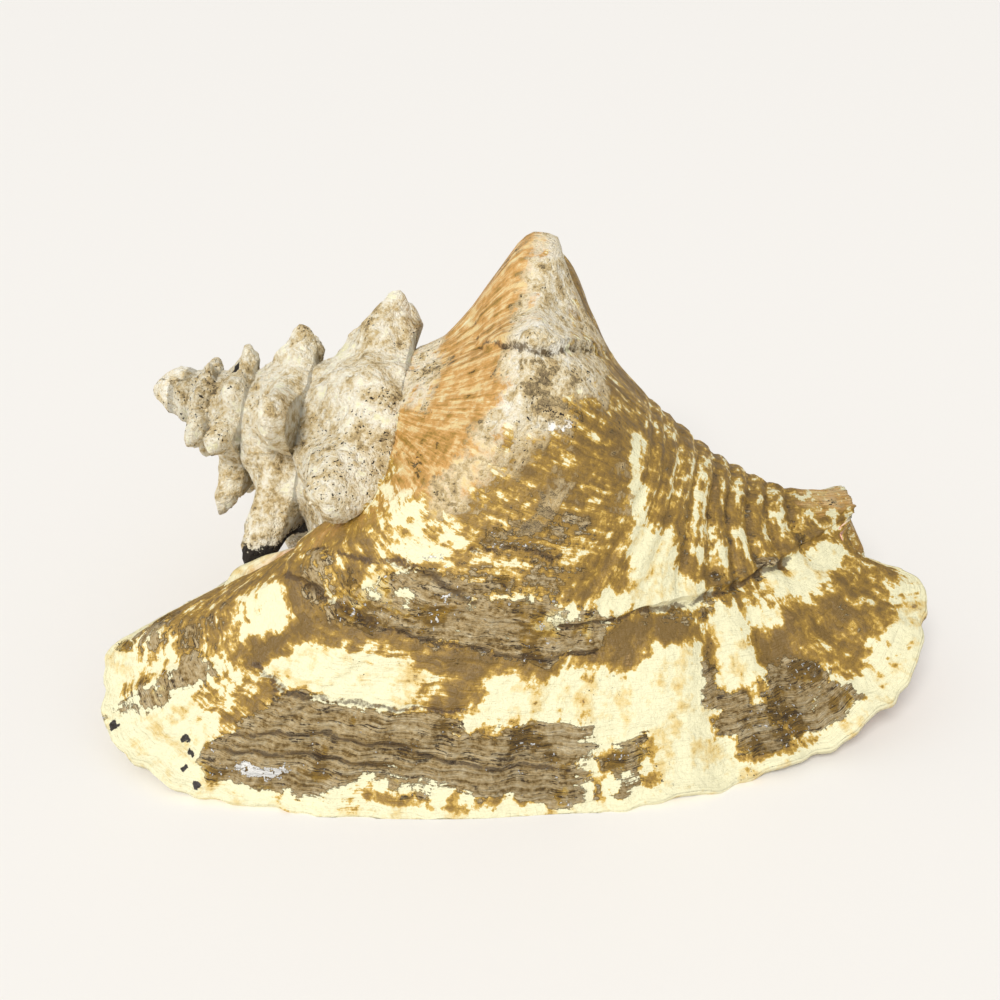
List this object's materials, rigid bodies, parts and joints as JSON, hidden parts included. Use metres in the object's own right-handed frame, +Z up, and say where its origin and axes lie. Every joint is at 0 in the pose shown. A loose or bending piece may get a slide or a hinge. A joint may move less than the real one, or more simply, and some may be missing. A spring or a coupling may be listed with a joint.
{
  "type": "queen conch shell",
  "caption": "Large spired sea snail shell with knobs on the shoulder and a wide flared lip, lying mouth down.",
  "frame": {"origin": "middle of the footprint's bounding box, on the ground", "axes": "+X towards the canal end, -X towards the spire, -Y towards the flared lip, +Z up"},
  "size_m": [0.2432, 0.1614, 0.124],
  "materials": {
    "shell": "weathered calcium carbonate, cream and ochre outside with dull flaky patches, glossy pink inside the mouth"
  },
  "bodies": {
    "root": {"conch_shell": "shell"}
  },
  "joints": []
}
